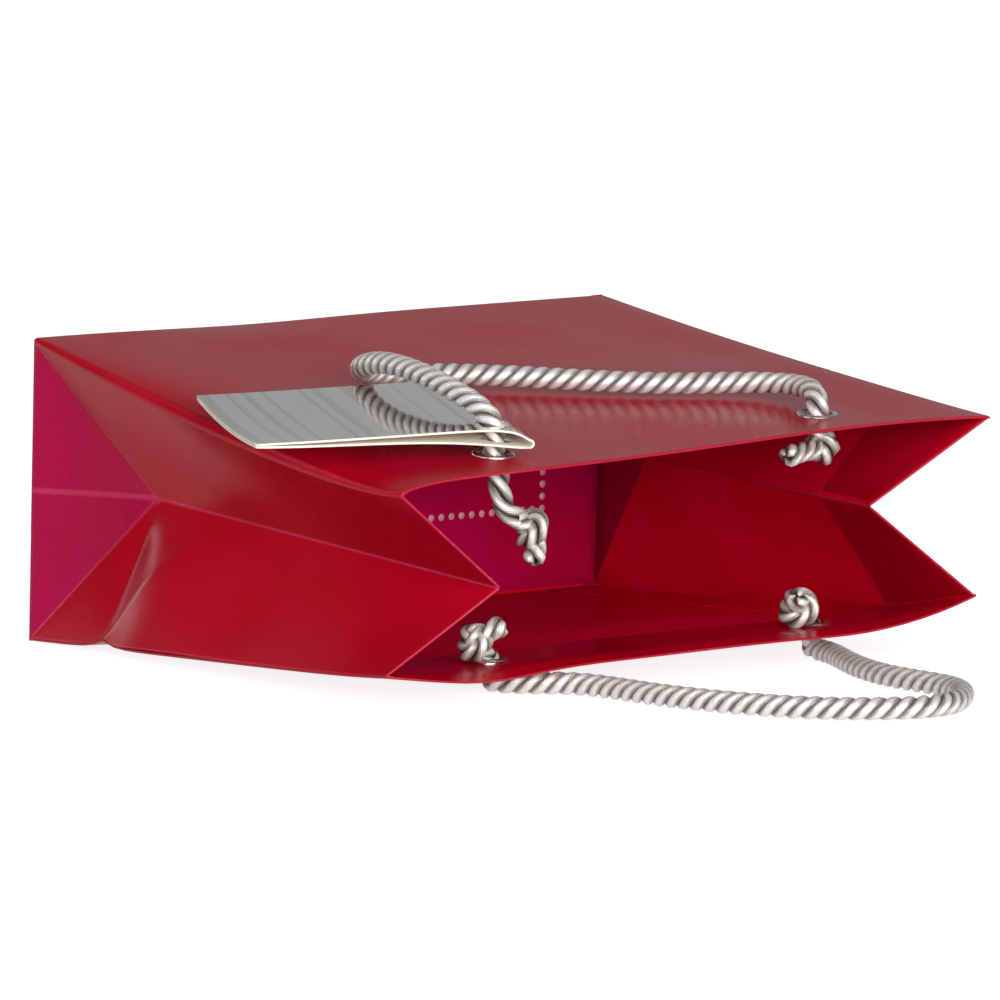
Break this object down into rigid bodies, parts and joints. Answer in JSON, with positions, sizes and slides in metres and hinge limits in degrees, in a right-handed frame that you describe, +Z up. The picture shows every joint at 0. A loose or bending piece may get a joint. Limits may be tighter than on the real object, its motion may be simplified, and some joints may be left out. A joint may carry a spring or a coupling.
{
  "type": "gift bag",
  "caption": "Red laminated-paper gift bag with gusseted sides, eyelets, twisted silver rope handles knotted inside, and a folded foil gift tag, lying on its back.",
  "frame": {"origin": "on the floor under the middle of the bag, without its cords and tag", "axes": "+X across the bag to the right gusset, +Y from the mouth towards the base, +Z up from the back panel that it lies on to the front panel"},
  "size_m": [0.1842, 0.2276, 0.0753],
  "materials": {
    "red_paper": "gloss film laminate",
    "base_card": "red-faced card",
    "grey_card": "plain grey card",
    "glue": "dried glue",
    "eyelet_metal": "polished",
    "silver_cord": "satin twisted rope",
    "foil_card": "silver foil on card"
  },
  "bodies": {
    "bag": {"back_panel": "red_paper", "back_hem": "red_paper", "side_seam_flap": "red_paper", "base_front_flap": "red_paper", "base_back_flap": "red_paper", "base_left_flap": "red_paper", "base_right_flap": "red_paper", "left_gusset_front": "red_paper", "left_gusset_back": "red_paper", "left_gusset_foot": "red_paper", "left_gusset_front_hem": "red_paper", "left_gusset_back_hem": "red_paper", "right_gusset_front": "red_paper", "right_gusset_back": "red_paper", "right_gusset_foot": "red_paper", "right_gusset_front_hem": "red_paper", "right_gusset_back_hem": "red_paper", "base_board": "base_card", "back_mouth_board": "grey_card", "base_glue_dots": "glue", "back_left_eyelet": "eyelet_metal", "back_right_eyelet": "eyelet_metal", "back_left_knot": "silver_cord", "back_right_knot": "silver_cord", "back_left_cord_root": "silver_cord", "back_right_cord_root": "silver_cord"},
    "front": {"front_panel": "red_paper", "front_mouth_board": "grey_card", "front_hem": "red_paper", "front_left_eyelet": "eyelet_metal", "front_right_eyelet": "eyelet_metal", "front_right_knot": "silver_cord"},
    "front_handle": {"front_handle_cord": "silver_cord"},
    "back_handle": {"back_handle_cord": "silver_cord"},
    "slack_end": {"front_left_tail": "silver_cord", "front_left_knot": "silver_cord"},
    "tag": {"tag_lower_leaf": "foil_card"},
    "tag_cover": {"tag_upper_leaf": "foil_card"}
  },
  "joints": [
    {"name": "mouth_fold", "type": "hinge", "parent": "bag", "child": "front", "pos_m": [0, 0.07299, 0.07194], "axis": [1, 0, 0], "range_deg": [-8, 6], "deforming": ["left_gusset_front", "left_gusset_back", "left_gusset_front_hem", "left_gusset_back_hem", "right_gusset_front", "right_gusset_back", "right_gusset_front_hem", "right_gusset_back_hem"]},
    {"name": "front_handle_swing", "type": "hinge", "parent": "front", "child": "front_handle", "pos_m": [0, -0.06074, 0.06177], "axis": [1, 0, 0], "range_deg": [0, 130], "deforming": ["front_handle_cord"]},
    {"name": "back_handle_lift", "type": "hinge", "parent": "bag", "child": "back_handle", "pos_m": [0, -0.07485, 0.0029], "axis": [-1, 0, 0], "range_deg": [0, 80], "deforming": ["back_handle_cord"]},
    {"name": "slack_end_swing", "type": "hinge", "parent": "front", "child": "slack_end", "pos_m": [-0.046, -0.05979, 0.05372], "axis": [1, 0, 0], "range_deg": [-20, 20], "deforming": ["front_left_tail"]},
    {"name": "tag_swivel", "type": "hinge", "parent": "front", "child": "tag", "pos_m": [-0.046, -0.0601, 0.0563], "axis": [0, -0.1167, 0.9932], "range_deg": [-30, 45]},
    {"name": "tag_open", "type": "hinge", "parent": "tag", "child": "tag_cover", "pos_m": [-0.03381, -0.04457, 0.06085], "axis": [0.3173, 0.9418, 0.1106], "range_deg": [0, 6]}
  ]
}
